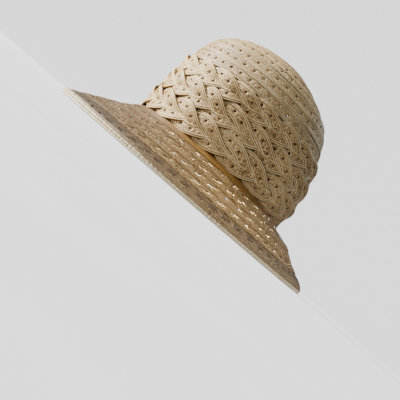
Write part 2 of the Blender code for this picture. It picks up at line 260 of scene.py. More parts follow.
# How much each pattern adds to the fine relief; the mottle is the speckle of the crown.
WEAVE_RELIEF = 0.30
MOTTLE_RELIEF = 1.1
FIBRE_RELIEF = 0.5
RIB_RELIEF = 0.8
THREAD_RELIEF = 0.25
SPECKLE_RELIEF = 0.8

# Regular patterns, in waves to each 10 mm.
CROWN_WEAVE = 3.6
CROWN_TWIST = 5.0
TWIST_SLANT = 2.0
BRIM_RIBS = 3.1
BRIM_THREADS = 6.5
STRIP_RIBS = 5.0
RIM_TWIST = 2.8

# The middle of each pattern's values where it isn't 0, and how much each adds to a tone.
PATTERN_MIDDLES = {"ridges": -0.05, "speckle": 0.5, "fibres": 0.5, "blotches": 0.5}
FIELD_WEIGHTS = {"weave": 0.06, "speckle": 3.0, "fibres": 0.6, "blotches": 0.7}
CORD_WEIGHTS = {"ridges": 0.42, "twist": 0.025, "fibres": 0.6, "blotches": 0.5}
BRIM_WEIGHTS = {"ribs": 0.26, "threads": 0.08, "speckle": 3.6, "fibres": 0.9, "blotches": 0.5}
STRIP_WEIGHTS = {"ribs": 0.16, "fibres": 1.0, "speckle": 0.9, "blotches": 0.6}
RIM_WEIGHTS = {"twist": 0.16, "fibres": 0.7, "speckle": 0.9, "blotches": 0.5}

# How wide soft edges are in the texture, from where they start to where they end.
CORD_BLUR = (-0.02, 0.03)
BRAID_EDGE_SHADE_BLUR = (-0.02, 0.02)
PAST_BRAID_SHADE = (0.76, 0.80)
PINHOLE_SHADE_BLUR = (0.0, 0.06)
SEAM_BLUR = (0.04, 0.09)
SEAM_LINES = ((0.19, 0.55), (0.45, 0.45))  # place across a course, strength
# Painted shade round the outermost course's clusters of small holes:
CLUSTER_PLACE = (0.25, 0.75)  # the share of a pitch along, the place across
CLUSTER_BLUR_ALONG = (0.28, 0.50)  # of a pitch
CLUSTER_BLUR_ACROSS = (0.20, 0.45)
CLUSTER_SHADE_DOT_BLUR = (0.44, 0.54)
# Painted light near the rim in front:
RIM_LIGHT_ACROSS = (1.15, 1.60)
RIM_LIGHT_ALONG = (-0.16, 0.0)  # on the hat, from its front
RIM_LIGHT_MOST = 0.85
RIM_LIGHT_PATCHES = (0.36, 0.56)

# The camera looks level across the hat, rolled so that the brim's line falls to the right.
CAMERA_PLACE = Vector((0.0231, -0.600, 0.0082))
CAMERA_ROLL = math.radians(40.9)
CAMERA_FOCAL_SHARE = 513 / 400
CAMERA_NEAREST = 0.01
SENSOR_WIDTH = 36.0

# The studio: a round floor of pale paper that sweeps up into a wall, a ring of the same paper that
# lights the rim, and paper under the hat whose darker tone is painted shade.
SWEEP_START = 0.02
SWEEP_FLOOR = 1.6  # how far the flat floor reaches
SWEEP_BEND = 0.8
SWEEP_HEIGHT = 4.0
SWEEP_SIDES = 64
BEND_STEPS = 12
RING_STEPS = 270
RING_REACH = (1.0 * MM, 60 * MM)  # of its two edges, out from the brim's edge
RING_HEIGHT = -0.10 * MM
UNDER_REACH = -2.0 * MM
UNDER_HEIGHT = 0.05 * MM
PAPER_GLOW = 8.0
PAPER_TONE = 0.45
# the paper under the hat is darker, as painted shade
UNDER_SHADE_TONE = 0.25
GRAIN_TONES = (0.455, 0.485)
GRAIN_RANGE = (0.3, 0.7)
PAPER_BLUE = 1.02
PAPER_FINISH = (0.9, 0.1)

# The lights outside: name, turn from the hat's front towards the shown side and rise, both in degrees,
# and power in watts.
STUDIO_LIGHTS = (
    ("key", -3, 20, 50.0),
    ("high", 12, 42, 11.0),
    ("side", 52, 12, 1.8),
    ("side_high", 75, 35, 1.6),
    ("back_high", 222, 38, 2.6),
)
LIGHT_TARGET = Vector((0.0, 0.0, 0.09))
LIGHT_DISTANCE = 1.3
LIGHT_SIZE = (0.34, 0.34)
LIGHT_COLOUR = (1.0, 0.98, 0.94)
AIR_COLOUR = (0.96, 0.98, 1.0)
AIR_STRENGTH = 0.165

# The weak lights inside: low, wide ones that shine out through the brim's slots, each with its turn in
# degrees from the back and its power in watts, and one in the crown.
INSIDE_LIGHTS = ((0, 0.12), (90, 0.25), (130, 0.20), (180, 0.06), (270, 0.12))
INSIDE_PLACE = (-0.04, 0.012)  # outwards and up
INSIDE_TARGET = (0.13, 0.045)
INSIDE_SIZE = (0.28, 0.012)
INSIDE_SPREAD = math.radians(28)
INSIDE_COLOUR = (0.86, 0.94, 1.0)
CROWN_LIGHT_POWER = 0.12
CROWN_LIGHT_PLACE = (0.0, 0.0, 0.10)
CROWN_LIGHT_RADIUS = 0.03

# One ring of braid before it is laid round the hat: where its points lie along and across it, as
# shares, which cells it keeps, its relief and its length.
Braid = collections.namedtuple("Braid", "along across keep relief length")


def smooth_rows(rows, share):
    """Read every column of a table of sections at any shares, along smooth curves through its rows."""
    table = np.array(rows)
    share = np.asarray(share, dtype=float)
    last = len(table) - 1
    low = np.clip(np.searchsorted(table[:, 0], share) - 1, 0, last - 1)
    start, end = table[low], table[low + 1]
    before, after = table[np.maximum(low - 1, 0)], table[np.minimum(low + 2, last)]
    span = (end[..., 0] - start[..., 0])[..., None]
    step = (share[..., None] - start[..., :1]) / span
    slope_start = (end - before) / (end[..., :1] - before[..., :1]) * span
    slope_end = (after - start) / (after[..., :1] - start[..., :1]) * span
    values = (
        (2 * step**3 - 3 * step**2 + 1) * start
        + (step**3 - 2 * step**2 + step) * slope_start
        + (3 * step**2 - 2 * step**3) * end
        + (step**3 - step**2) * slope_end
    )
    return np.moveaxis(values[..., 1:], -1, 0)


def around(turn, front, side, back):
    """Place points on the oval whose reach is given for the front, the side and the back."""
    angle = 2 * np.pi * turn
    lengthwise = np.where(np.cos(angle) > 0, front, back)
    return -lengthwise * np.cos(angle), -side * np.sin(angle)


def blend_up(turn, front, side, back):
    """Blend three heights round the hat; the back one reaches less far round."""
    cosine = np.cos(2 * np.pi * turn)
    return side + np.where(cosine > 0, (front - side) * cosine**2, (back - side) * cosine**4)


def brim_surface(turn, share):
    """Give points of the brim's outer face."""
    turn, share = np.broadcast_arrays(turn, share)
    front_out, front_up, side_out, side_up, back_out, back_up = smooth_rows(BRIM_SECTIONS, share)
    x, y = around(turn, front_out, side_out, back_out)
    return np.stack([x, y, blend_up(turn, front_up, side_up, back_up)], axis=-1)


def crown_surface(turn, share):
    """Give points of the crown's outer face, which stands on the brim's inner edge."""
    turn, share = np.broadcast_arrays(turn, share)
    rise, front_out, side_out, back_out = smooth_rows(CROWN_SECTIONS, share)
    foot = BRIM_SECTIONS[0]
    foot_up = blend_up(turn, foot[2], foot[4], foot[6])
    x, y = around(turn, front_out, side_out, back_out)
    return np.stack([x, y, foot_up + rise * (CROWN_TOP - foot_up)], axis=-1)


def lifted(surface, turn, share, lift):
    """Move points of a face straight out of it by the lift."""
    turn, share, lift = np.broadcast_arrays(turn, share, lift)
    middle = surface(turn, share)
    along = surface(turn + SLOPE_STEP, share) - surface(turn - SLOPE_STEP, share)
    across = surface(turn, np.minimum(share + SLOPE_STEP, 1.0)) - surface(turn, share - SLOPE_STEP)
    normal = np.cross(along, across)
    normal /= np.maximum(np.linalg.norm(normal, axis=-1, keepdims=True), SHORTEST)
    inward = np.sum(normal * (middle * FLAT + OUTSIDE_UP * UP), axis=-1) < 0
    normal[inward] *= -1
    return middle + normal * lift[..., None]


def wobble(turn, seed, waves, lowest):
    """Give a smooth unevenness of about -1 to 1 that closes after one turn."""
    draw = np.random.default_rng(seed)
    total = np.zeros_like(np.asarray(turn, dtype=float))
    for wave in range(lowest, lowest + waves):
        total += draw.uniform(*WAVE_HEIGHTS) * np.sin(2 * np.pi * (wave * turn + draw.uniform()))
    return total / (np.mean(WAVE_HEIGHTS) * waves**0.5 * WAVES_PEAK)


def ring_length(surface, share):
    """Measure once round a face at a share."""
    turns = np.linspace(0.0, 1.0, MEASURING_POINTS)
    points = surface(turns, np.full_like(turns, share))
    return float(np.linalg.norm(np.diff(points, axis=0), axis=1).sum())


def ring_turns(steps):
    """Spread steps evenly once round, one below the other, as the rows of a sheet."""
    return np.arange(steps)[:, None] / steps


def rim_edge(turns):
    """Give points of the brim's edge, and the level directions outwards from them."""
    edge = brim_surface(turns, np.ones_like(turns))
    outward = edge * FLAT
    return edge, outward / np.linalg.norm(outward, axis=1, keepdims=True)


def cell_corners(along, across, shape, length):
    """Give the texture place of the four corners of each cell of a ring, as long as length once round."""
    once_round = length / TEXTURE_UNIT
    place = np.stack(np.broadcast_arrays(along * once_round, across), axis=-1)
    place = np.broadcast_to(place, shape + (2,))
    next_place = np.concatenate([place[1:], place[:1] + np.array([once_round, 0.0])])
    return np.stack([place[:, :-1], next_place[:, :-1], next_place[:, 1:], place[:, 1:]], axis=2)


def add_object(name, data):
    """Put a mesh, a lamp or a camera into the scene."""
    made = bpy.data.objects.new(name, data)
    bpy.context.scene.collection.objects.link(made)
    return made


def add_mesh(name, points, faces, material):
    """Make an object of faces between points, in one smooth material."""
    mesh = bpy.data.meshes.new(name)
    mesh.from_pydata(points, [], faces)
    mesh.shade_smooth()
    mesh.materials.append(material)
    return add_object(name, mesh)


class Piece:
    """Collects sheets of braid and cords, and makes them into one object."""

    def __init__(self, name):
        self.name = name
        self.points = []
        self.faces = []
        self.corners = []
        self.count = 0

    def add_sheet(self, outer, inner, across, length, along=None, keep=None, inner_across=None):
        """Add a ring of sheet with two faces and with a wall round each hole that keep leaves out.

        outer and inner hold points by row and column, and the row after the last is the first. across
        is their place across the texture, which can differ for the inner face, and length is once
        round. along is their place along as shares, for rows that aren't spread evenly.
        """
        rows, columns = outer.shape[:2]
        if along is None:
            along = ring_turns(rows)
        if keep is None:
            keep = np.ones((rows, columns - 1), dtype=bool)
        if inner_across is None:
            inner_across = across
        spot = self.count + np.arange(rows * columns).reshape(rows, columns)
        following = np.roll(spot, -1, axis=0)
        cell = np.stack([spot[:, :-1], following[:, :-1], following[:, 1:], spot[:, 1:]], axis=-1)
        texture = cell_corners(along, across, (rows, columns), length)
        inner_texture = cell_corners(along, inner_across, (rows, columns), length)
        behind = rows * columns
        first = outer[:, 0]
        side = np.cross(np.roll(first, -1, axis=0) - first, outer[:, 1] - first)
        outward = np.sum(side * (first - inner[:, 0])) > 0
        faces = [cell[keep], cell[keep][:, ::-1] + behind]
        corners = [texture[keep], inner_texture[keep][:, ::-1]]
        empty = np.zeros((rows, 1), dtype=bool)
        beside = (
            np.concatenate([empty, keep[:, :-1]], axis=1),
            np.roll(keep, -1, axis=0),
            np.concatenate([keep[:, 1:], empty], axis=1),
            np.roll(keep, 1, axis=0),
        )
        for start, kept_beside in enumerate(beside):
            end = (start + 1) % 4
            edge = keep & ~kept_beside
            a, b = cell[edge][:, start], cell[edge][:, end]
            faces.append(np.stack([b, a, a + behind, b + behind], axis=-1))
            corners.append(texture[edge][:, [end, start, start, end]])
        for face, corner in zip(faces, corners):
            self.faces.append(face if outward else face[:, ::-1])
            self.corners.append(corner if outward else corner[:, ::-1])
        self.points += [outer.reshape(-1, 3), inner.reshape(-1, 3)]
        self.count += 2 * behind

    def add_cord(self, sections, across, length):
        """Add a cord that closes on itself, given by the points round each of its sections."""
        steps, sides = sections.shape[:2]
        spot = self.count + np.arange(steps * sides).reshape(steps, sides)
        beside = np.roll(spot, -1, axis=1)
        cell = np.stack([spot, np.roll(spot, -1, axis=0), np.roll(beside, -1, axis=0), beside], axis=-1)
        texture = cell_corners(ring_turns(steps), across, (steps, sides + 1), length)
        self.faces.append(cell.reshape(-1, 4)[:, ::-1])
        self.corners.append(texture.reshape(-1, 4, 2)[:, ::-1])
        self.points.append(sections.reshape(-1, 3))
        self.count += steps * sides

    def make(self, material, slot, *nodes):
        """Make the object, seat it in the frame and let it stand for the CAD nodes."""
        used, faces = np.unique(np.concatenate(self.faces), return_inverse=True)
        points = np.concatenate(self.points)[used]
        piece = add_mesh(self.name, points.tolist(), faces.reshape(-1, 4).tolist(), material)
        corners = np.concatenate(self.corners)
        layer = piece.data.uv_layers.new(name="braid")
        layer.data.foreach_set("uv", corners.astype(np.float32).ravel())
        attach(piece, "root")
        if nodes:
            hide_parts(*nodes)


def braid_relief(across):
    """Give the height of the braid's outer face across its width, without pinholes."""
    reach = np.abs(across)
    relief = PUFF * np.clip(1 - (reach / CORD_CENTRES[0]) ** 2, 0.0, 1.0)
    for centre in CORD_CENTRES:
        inside = np.clip(1 - ((reach - centre) / CORD_HALF_WIDTH) ** 2, 0.0, 1.0)
        relief = relief + CORD_HEIGHT * np.sqrt(inside)
    return relief


def pinholed_braid(length):
    """Lay out a ring of braid of that length, with its pinholes' corners drawn in."""
    pitches = round(length / PINHOLE_PITCH)
    hole = PINHOLE_LENGTH_SHARE
    between = np.linspace(hole, 1.0, CELLS_BETWEEN_PINHOLES + 1)[:-1]
    steps = np.concatenate([[0.0, 0.5 * hole], between])
    rows = ((np.arange(pitches)[:, None] + steps) / pitches).ravel()
    step = np.tile(np.arange(len(steps)), pitches)
    half = np.array(BRAID_ACROSS)
    columns = np.concatenate([-half[::-1], [0.0], half])
    middle = len(half)
    along, across = np.meshgrid(rows, columns, indexing="ij")
    for corner_row, drawn_in in ((0, 1.0), (PINHOLE_CELLS, -1.0)):
        for column in (middle - 1, middle + 1):
            corners = step == corner_row
            along[corners, column] += drawn_in * 0.5 * hole * (1 - PINHOLE_CORNER) / pitches
            across[corners, column] *= PINHOLE_CORNER
    keep = np.ones((len(rows), len(columns) - 1), dtype=bool)
    keep[step < PINHOLE_CELLS, middle - 1:middle + 1] = False
    near = (step <= PINHOLE_CELLS)[:, None]
    dip = PINHOLE_DIP * np.clip(1 - np.abs(across) / PINHOLE_DIP_REACH, 0.0, 1.0)
    return Braid(along, across, keep, braid_relief(across) - near * dip, pitches * PINHOLE_PITCH)


def plain_faces(surface, steps, share, lift, thickness):
    """Give the two faces of a plain ring of sheet that lies along a face of the hat."""
    turns = ring_turns(steps)
    return [lifted(surface, turns, share, lift - depth) for depth in (0.0, thickness)]


def lay_braid(piece, braid, turn, share, lift, relief_share=1.0):
    """Add a ring of braid to a piece, laid on the crown at these turns and shares."""
    outer = lifted(crown_surface, turn, share, lift + relief_share * braid.relief)
    inner = lifted(crown_surface, turn, share, lift - BRAID_THICKNESS)
    width = braid.across * BRAID_HALF_WIDTH / TEXTURE_UNIT
    piece.add_sheet(outer, inner, width, braid.length, braid.along, braid.keep)


def plait_braid(piece, band):
    """Add the braid of one plait, which swings up and down and passes over and under itself."""
    middle_share = (band + 0.5) * PLAIT_SHARE
    once_round = ring_length(crown_surface, middle_share)
    braid = pinholed_braid(STRANDS * once_round * PLAIT_SLACK)
    along, across = braid.along, braid.across
    turn = STRANDS * along
    swings = 2 * np.pi * LOBES / STRANDS  # once round the hat
    phase = swings * turn
    uneven = SWING_UNEVEN * wobble(along, SWING_SEED + band, waves=9, lowest=5)
    swing = 0.5 * (SWING_UP[band] + SWING_DOWN) * (1 + uneven)
    lean = 0.5 * (SWING_UP[band] - SWING_DOWN)
    height = swing * np.sin(phase) + lean * np.sin(phase) ** 2
    slope = (swing + 2 * lean * np.sin(phase)) * np.cos(phase) * swings / once_round
    tilt = np.arctan(slope)
    reach = BRAID_HALF_WIDTH * across
    up = height + reach * np.cos(tilt)
    shingle = up / (SWING_DOWN + BRAID_HALF_WIDTH)
    if band == 0:
        shingle = np.maximum(shingle, 0.0)
    lift = (
        -STRAND_RISE * np.sin(2 * phase)
        - STRAND_LEAN * np.cos(phase)
        - STRAND_TILT * np.cos(phase) * across
        + STRAND_BULGE * (1 - across**2)
        + SHINGLE * shingle
        - PLAIT_SINK
    )
    uneven = LOBE_UNEVEN * wobble(along, LOBE_SEED + band, waves=8, lowest=4)
    offset = (PLAIT_TURN_OFFSETS[band] + uneven) / LOBES
    turn_at = turn - reach * np.sin(tilt) / once_round + offset
    lay_braid(piece, braid, turn_at, middle_share + up / CROWN_LENGTH, lift)


def plait_backing(piece, band):
    """Add the plain inner wall behind one plait."""
    across = np.linspace(-1.0, 1.0, BACKING_COLUMNS + 1)
    share = (band + 0.5 + 0.5 * across) * PLAIT_SHARE
    length = ring_length(crown_surface, (band + 0.5) * PLAIT_SHARE)
    outer, inner = plain_faces(crown_surface, BACKING_STEPS, share, -BACKING_SINK, BRAID_THICKNESS)
    # the outer face lies where the texture paints deep shade, seen in the gaps between the strands
    shaded = BACKING_SHADE_PLACE + BACKING_REACH * across
    piece.add_sheet(outer, inner, shaded, length, inner_across=INSIDE_REACH * across)


def make_plait(band, material):
    """Make one plait with its inner wall."""
    piece = Piece(f"plait_{PLAITS[band]}_braid")
    plait_braid(piece, band)
    plait_backing(piece, band)
    piece.make(material, "plait_straw", f"plait_{PLAITS[band]}")


def make_courses(name, add_course, courses, material, slot, *nodes):
    """Make one piece of several courses."""
    piece = Piece(name)
    for course in courses:
        add_course(piece, course)
    piece.make(material, slot, *nodes)


def tip_course(piece, course):
    """Add one course of the domed tip."""
    pitch = (1 - TIP_START) / TIP_COURSES
    first = TIP_START + pitch * (course - COURSE_OVERLAP)
    end = min(TIP_START + pitch * (course + 1 + COURSE_OVERLAP), TIP_END)
    braid = pinholed_braid(ring_length(crown_surface, 0.5 * (first + end)))
    turn = braid.along + (COURSE_TURN * course) % 1.0
    width_step = 0.5 * (braid.across + 1)
    share = first + (end - first) * width_step
    up_tip = np.clip((share - TIP_START) / (1 - TIP_START), 0.0, 1.0)
    wander = wobble(turn, COURSE_SEED + course, waves=3, lowest=1) * (1 - course / TIP_COURSES)
    wave = wobble(turn + TIP_WAVE_LEAN * share, TIP_WAVE_SEED, waves=3, lowest=1)
    wave = wave * np.sin(np.pi * up_tip) ** TIP_WAVE_SHAPE
    share = np.minimum(share + pitch * (COURSE_WANDER * wander + TIP_WAVE * wave), TIP_END)
    sink = TIP_SINK * np.clip(1 - (share - TIP_START) / TIP_SINK_FADE, 0.0, 1.0)
    lay_braid(piece, braid, turn, share, TIP_LAP * (0.5 - width_step) - sink, TIP_RELIEF)


def make_tip(material):
    """Make the domed tip of sewn courses, as its side and its top."""
    side, top = range(TIP_SIDE_COURSES), range(TIP_SIDE_COURSES, TIP_COURSES)
    make_courses("tip_braid_side", tip_course, side, material, "tip_straw", "crown_tip")
    make_courses("tip_braid_top", tip_course, top, material, "tip_straw")


def cut_slots(keep, seed):
    """Leave out the cells of a course's two-part slots, a few of them shortened."""
    draw = np.random.default_rng(seed)
    middle = BRIM_COLUMNS // 2
    for start in range(0, len(keep), CELLS_PER_SLOT):
        bend = start + SLOT_CELLS
        if draw.uniform() >= HALF_SLOTS:
            keep[start:bend, middle:middle + SLOT_CELLS] = False
        end = bend + (SLOT_CELLS if draw.uniform() < FULL_SLOTS else SLOT_CELLS - 1)
        keep[bend:end, middle - SLOT_CELLS:middle + 1] = False


def cut_clusters(keep, seed):
    """Leave out the cells of the outermost course's small holes, which lie in clusters."""
    draw = np.random.default_rng(seed)
    middle = BRIM_COLUMNS // 2 - 1
    for start in range(0, len(keep), CELLS_PER_SLOT):
        for row in range(start, start + CLUSTER_HOLES * CLUSTER_STEP, CLUSTER_STEP):
            low = middle + draw.integers(-CLUSTER_SPREAD, CLUSTER_SPREAD)
            keep[row, low:low + CLUSTER_STEP] = False


def brim_course(piece, index):
    """Add one course of the brim, which rises to its outer edge and laps over the next."""
    start, end = BRIM_SEAMS[index], BRIM_SEAMS[index + 1]
    tuck = BRIM_TUCK if index else 0.0
    width_step = np.linspace(0.0, 1.0, BRIM_COLUMNS + 1)
    share = start - tuck + (end - start + tuck) * width_step
    slots = round(ring_length(brim_surface, 0.5 * (start + end)) / SLOT_PITCH)
    keep = np.ones((slots * CELLS_PER_SLOT, BRIM_COLUMNS), dtype=bool)
    if index == len(BRIM_SEAMS) - 2:
        cut_clusters(keep, CLUSTER_SEED)
    else:
        cut_slots(keep, SLOT_SEED + index)
    turn = ring_turns(len(keep)) + SLOT_SHIFT * index / slots
    inner_lift, rise = BRIM_LAP
    lap = inner_lift + rise * width_step
    puff = BRIM_PUFF * np.sin(np.pi * width_step)
    uneven = BRIM_UNEVEN * wobble(turn, BRIM_SEED + index, waves=9, lowest=6)
    outer = lifted(brim_surface, turn, share, lap + puff + uneven)
    inner = lifted(brim_surface, turn, share, lap - BRIM_THICKNESS + uneven)
    inner_edge, outer_edge = brim_surface(SHOWN_SIDE, (start, end))
    width = np.linalg.norm(outer_edge - inner_edge) / TEXTURE_UNIT
    piece.add_sheet(outer, inner, width_step * width, slots * SLOT_PITCH, keep=keep)


def make_brim(brim_straw, edge_straw):
    """Make the brim in three pieces: the inner courses, the outer ones and the one at the edge."""
    make_courses("brim_braid_inner", brim_course, (0, 1), brim_straw, "brim_straw", "brim")
    make_courses("brim_braid_outer", brim_course, (2, 3), brim_straw, "brim_straw")
    make_courses("brim_braid_edge", brim_course, (4,), edge_straw, "brim_straw")


def make_strip(material):
    """Make the smooth strip between the crown and the brim, which laps over the brim's first course."""
    width_step = np.linspace(0.0, 1.0, STRIP_COLUMNS + 1)
    share = -STRIP_TUCK + (STRIP_END + STRIP_TUCK + BRIM_TUCK) * width_step
    inner_lift, rise = STRIP_LAP
    lift = inner_lift + rise * width_step + STRIP_PUFF * np.sin(np.pi * width_step)
    outer, inner = plain_faces(brim_surface, STRIP_STEPS, share, lift, BRIM_THICKNESS)
    piece = Piece("strip_braid")
    piece.add_sheet(outer, inner, width_step, ring_length(brim_surface, 0.5 * STRIP_END))
    piece.make(material, "strip_straw", "crown_strip")


def make_facing(material):
    """Make the under layer of the brim's outer quarter."""
    share = np.linspace(FACING_START, FACING_END, FACING_COLUMNS + 1)
    outer, inner = plain_faces(brim_surface, FACING_STEPS, share, -FACING_DROP, BRIM_THICKNESS)
    for face, lowest in zip((outer, inner), FACING_LOWEST):
        face[..., 2] = np.maximum(face[..., 2], lowest)
    piece = Piece("facing_braid")
    across = np.linspace(0.0, FACING_TEXTURE_WIDTH, len(share))
    piece.add_sheet(outer, inner, across, ring_length(brim_surface, FACING_START))
    piece.make(material, "facing_straw", "brim_facing")


def rim_thickness(turns):
    """Give the share of its full thickness that a rim cord has round the hat."""
    start, end = RIM_TAPER
    fading = np.clip((np.minimum(turns, 1 - turns) - start) / (end - start), 0.0, 1.0)
    return 1 - (1 - RIM_THINNEST) * fading**2 * (3 - 2 * fading)


def rim_cord(name, height, inset, swelling, material):
    """Make one cord of the rim as a closed ring, with loops of straw that swell it a little."""
    turns = ring_turns(RIM_CORD_STEPS)[:, 0]
    edge, outward = rim_edge(turns)
    thickness = rim_thickness(turns)
    centre = edge - outward * (inset * thickness)[:, None]
    centre[:, 2] = height * thickness
    length = ring_length(brim_surface, 1.0)
    loops = np.sin(2 * np.pi * round(length / RIM_LOOP_PITCH) * turns)
    radius = RIM_CORD_RADIUS * (thickness * (1 + swelling * loops))[:, None, None]
    angle = 2 * np.pi * np.arange(RIM_CORD_SIDES) / RIM_CORD_SIDES
    sections = (
        centre[:, None, :]
        + radius * np.cos(angle)[None, :, None] * outward[:, None, :]
        + radius * np.sin(angle)[None, :, None] * UP
    )
    piece = Piece(name)
    piece.add_cord(sections, np.linspace(0.0, RIM_TEXTURE_WIDTH, RIM_CORD_SIDES + 1), length)
    piece.make(material, "facing_straw")


def make_rim(material):
    """Make the two cords that end the brim, one on the ground and one on top of it."""
    lower_inset, upper_inset = RIM_INSETS
    rim_cord("rim_cord_lower", RIM_CORD_RADIUS, lower_inset, 0.0, material)
    rim_cord("rim_cord_upper", RIM_CORD_RADIUS + RIM_CORD_PITCH, upper_inset, RIM_SWELLING, material)


def operator(operation):
    """Make an operator between shader values from an operation of the math node."""
    return lambda first, second: first.nodes.math(operation, first, second)


class Value:
    """What a shader socket gives, to reckon with as with a number."""

    __add__ = operator("ADD")
    __sub__ = operator("SUBTRACT")
    __mul__ = operator("MULTIPLY")
    __truediv__ = operator("DIVIDE")
    __pow__ = operator("POWER")

    def __init__(self, nodes, socket):
        self.nodes = nodes
        self.socket = socket

    def __rsub__(self, number):
        return self.nodes.math("SUBTRACT", number, self)

    def apply(self, operation):
        """Work out an operation on this value alone."""
        return self.nodes.math(operation, self)


class Nodes:
    """A material, with a short way to add shader nodes and to join them."""

    def __init__(self, name, finish):
        self.material = bpy.data.materials.new(name)
        self.material.use_nodes = True
        self.tree = self.material.node_tree
        self.shader = self.tree.nodes["Principled BSDF"]
        roughness, gloss = finish
        self.set("Roughness", roughness)
        self.set("Specular IOR Level", gloss)

    def feed(self, socket, value):
        """Feed a socket with a number, a colour or the value of another socket."""
        if isinstance(value, Value):
            self.tree.links.new(value.socket, socket)
        else:
            socket.default_value = value

    def set(self, name, value):
        """Feed one of the shader's own sockets."""
        self.feed(self.shader.inputs[name], value)

    def add(self, kind, output, settings=None, **inputs):
        """Add a node, feed its inputs and give its output."""
        node = self.tree.nodes.new(kind)
        for key, value in (settings or {}).items():
            setattr(node, key, value)
        for key, value in inputs.items():
            self.feed(node.inputs[key.replace("_", " ")], value)
        return Value(self, node.outputs[output])

    def math(self, operation, first, second=0.0):
        """Work out one sum."""
        node = self.tree.nodes.new("ShaderNodeMath")
        node.operation = operation
        self.feed(node.inputs[0], first)
        self.feed(node.inputs[1], second)
        return Value(self, node.outputs[0])

    def ramp(self, factor, stops):
        """Map a factor to colours; the first two stops are the ramp's own."""
        node = self.tree.nodes.new("ShaderNodeValToRGB")
        self.feed(node.inputs["Fac"], factor)
        elements = node.color_ramp.elements
        for element, (place, colour) in zip(elements, stops[:2]):
            element.position = place
            element.color = (*colour, 1.0)
        for place, colour in stops[2:]:
            elements.new(place).color = (*colour, 1.0)
        return Value(self, node.outputs["Color"])

    def mix(self, factor, first, second, blend="MIX"):
        """Mix two colours."""
        node = self.tree.nodes.new("ShaderNodeMix")
        node.data_type = "RGBA"
        node.blend_type = blend
        self.feed(node.inputs[0], factor)
        for socket, value in ((node.inputs[6], first), (node.inputs[7], second)):
            self.feed(socket, value if isinstance(value, Value) else (*value, 1.0))
        return Value(self, node.outputs[2])

    def noise(self, place, pattern):
        """Give a soft random pattern around a half."""
        closeness, scale, detail = pattern
        stretched = self.add("ShaderNodeMapping", 0, Vector=place, Scale=(*closeness, 1.0))
        return self.add("ShaderNodeTexNoise", "Fac", Vector=stretched, Scale=scale, Detail=detail)


class Straw(Nodes):
    """A straw material, with its places on the braid and the hat and its soft patterns."""

    def __init__(self, name, kind):
        finish, speckle, fibres, self.relief_depth = kind
        super().__init__(name, finish)
        on_hat = self.add("ShaderNodeTexCoord", "Object")
        self.along_hat = self.add("ShaderNodeSeparateXYZ", "X", Vector=on_hat)
        self.place = self.add("ShaderNodeUVMap", "UV", {"uv_map": "braid"})
        self.along = self.add("ShaderNodeSeparateXYZ", "X", Vector=self.place)
        self.across = self.add("ShaderNodeSeparateXYZ", "Y", Vector=self.place)
        self.speckle = self.noise(self.place, speckle)
        self.fibres = self.noise(self.place, fibres)
        self.blotches = self.noise(on_hat, BLOTCHES)

    def tones(self, weights, patterns, tones, places):
        """Add up how far patterns are from their middles, as a straw's dark, middle and light tone."""
        total = 0.5
        for name, weight in weights.items():
            pattern = patterns.get(name) or getattr(self, name)
            total = (pattern - PATTERN_MIDDLES.get(name, 0.0)) * weight + total
        dark, middle, light = zip(places, tones)
        return self.ramp(total, (dark, light, middle))

    def painted_shading(self, colour, span, front, back=(1.0, 1.0, 1.0)):
        """Multiply in painted light and shade: the front tone before a span along the hat, the back one
        after.
        """
        tone = self.ramp(step_up(self.along_hat, span), ((0.0, front), (1.0, back)))
        return self.mix(1.0, colour, tone, "MULTIPLY")

    def complete(self, colour, height):
        """Give the straw its colour and turn a height pattern into fine relief."""
        self.set("Base Color", colour)
        relief = {"Height": height, "Strength": RELIEF_STRENGTH, "Distance": self.relief_depth}
        self.set("Normal", self.add("ShaderNodeBump", "Normal", **relief))
        return self.material


def waves(coordinate, count):
    """Give a sine wave with so many periods to each 10 mm."""
    return (coordinate * (2 * math.pi * count)).apply("SINE")


def step_up(value, span, place=0.0):
    """Rise smoothly from 0 to 1 as a value crosses a span, which counts from a place."""
    smooth = {"interpolation_type": "SMOOTHSTEP"}
    limits = {"From_Min": place + span[0], "From_Max": place + span[1]}
    return value.nodes.add("ShaderNodeMapRange", "Result", smooth, Value=value, **limits)


def near(value, place, span):
    """Give 1 at a place, fading to 0 over a span of distances from it."""
    return 1.0 - step_up((value - place).apply("ABSOLUTE"), span)


def within_pitch(along, pitch):
    """Give how far along its own pitch a place is."""
    return (along / pitch).apply("FRACT") * pitch


def pinhole_shade_mask(along, across):
    """Give 1 in the braid's pinholes, fading to 0 close round them, where painted shade darkens the
    straw.
    """
    pitch = PINHOLE_PITCH / TEXTURE_UNIT
    radius = 0.5 * pitch * PINHOLE_LENGTH_SHARE
    off_along = within_pitch(along, pitch) - radius
    distance = (off_along**2.0 + across**2.0).apply("SQRT")
    return 1.0 - step_up(distance, PINHOLE_SHADE_BLUR, radius)


